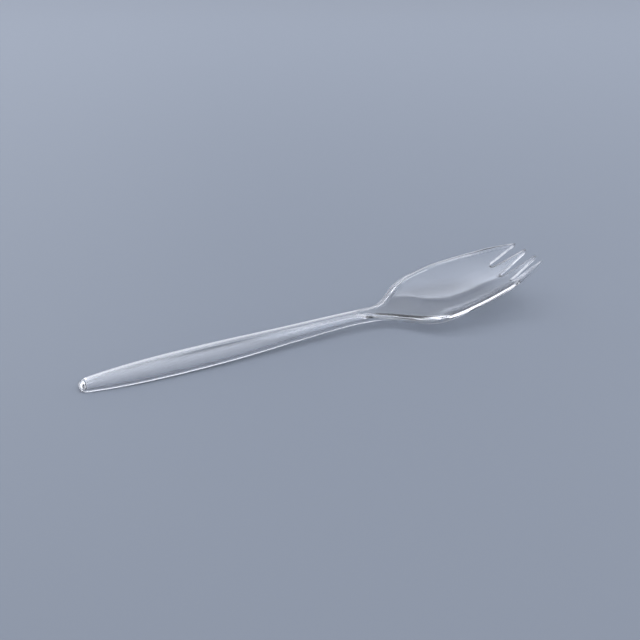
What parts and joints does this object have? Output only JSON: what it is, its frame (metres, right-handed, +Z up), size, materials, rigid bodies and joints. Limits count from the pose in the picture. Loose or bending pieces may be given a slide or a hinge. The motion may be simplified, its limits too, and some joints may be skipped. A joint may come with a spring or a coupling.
{
  "type": "spork",
  "caption": "Clear one-piece plastic spork: arched hollow-backed handle, slim neck, sloping shoulders, shallow oval bowl with a narrow raised rim, and tapered tines cut into its front.",
  "frame": {"origin": "on the table, under the middle of the spork's whole length and width", "axes": "+X along the spork from the end of the handle to the tines, +Y to the left across it, +Z up out of the bowl"},
  "size_m": [0.1668, 0.0332, 0.0147],
  "materials": {
    "clear_plastic": "polished clear polystyrene, as moulded"
  },
  "bodies": {
    "root": {"spork": "clear_plastic"}
  },
  "joints": []
}
